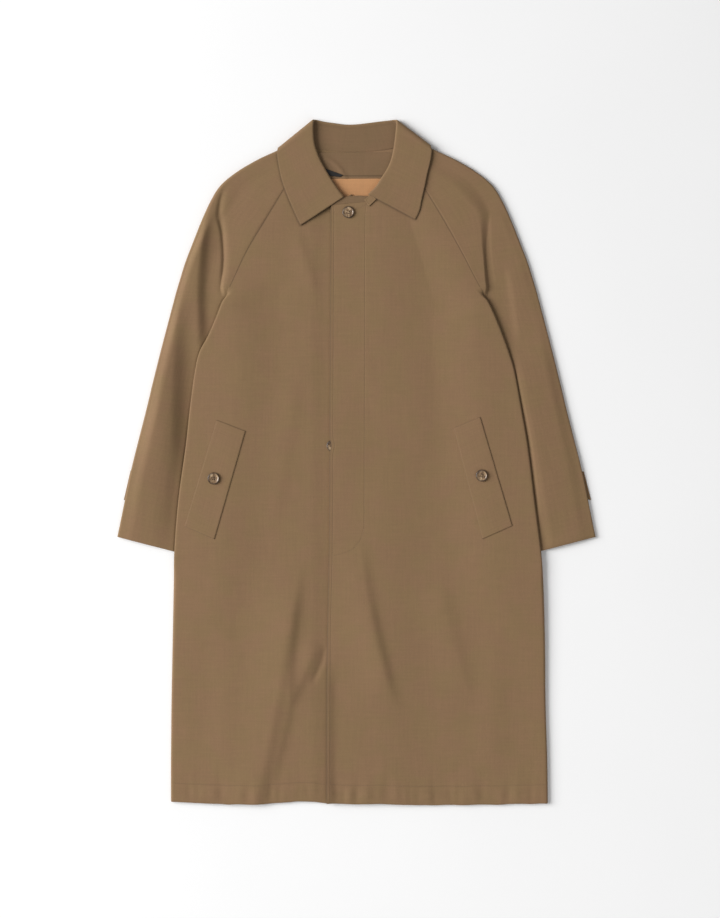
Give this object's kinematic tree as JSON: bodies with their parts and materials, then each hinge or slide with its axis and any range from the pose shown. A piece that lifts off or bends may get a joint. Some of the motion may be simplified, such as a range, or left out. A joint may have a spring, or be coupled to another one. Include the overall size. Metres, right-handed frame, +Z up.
{
  "type": "overcoat",
  "caption": "Brown raglan overcoat with a fly front, point collar and slanted welt pockets, laid flat and buttoned.",
  "frame": {"origin": "centre of the surface the coat lies on, under the middle of its outline", "axes": "+X to the wearer's left (right in a picture from above), +Y from hem to collar, +Z up from the surface"},
  "size_m": [0.822, 1.1781, 0.0166],
  "materials": {
    "coat_cloth": "tan brown cotton gabardine, fine twill, soft dull sheen",
    "lining": "plain tan twill lining",
    "label": "bare black woven tape",
    "horn_button": "mottled brown horn, softly polished"
  },
  "bodies": {
    "root": {"back_panel": "coat_cloth", "front_right": "coat_cloth", "front_left": "coat_cloth", "sleeve_right": "coat_cloth", "sleeve_left": "coat_cloth", "collar_fall": "coat_cloth", "collar_stand": "coat_cloth", "stand_end": "coat_cloth", "fly_facing": "coat_cloth", "neck_facing": "coat_cloth", "pocket_welt_right": "coat_cloth", "pocket_welt_left": "coat_cloth", "cuff_strap_right": "coat_cloth", "cuff_strap_left": "coat_cloth", "button_neck": "horn_button", "button_fly": "horn_button", "button_welt_right": "horn_button", "button_welt_left": "horn_button", "lining": "lining", "neck_label": "label"}
  },
  "joints": []
}
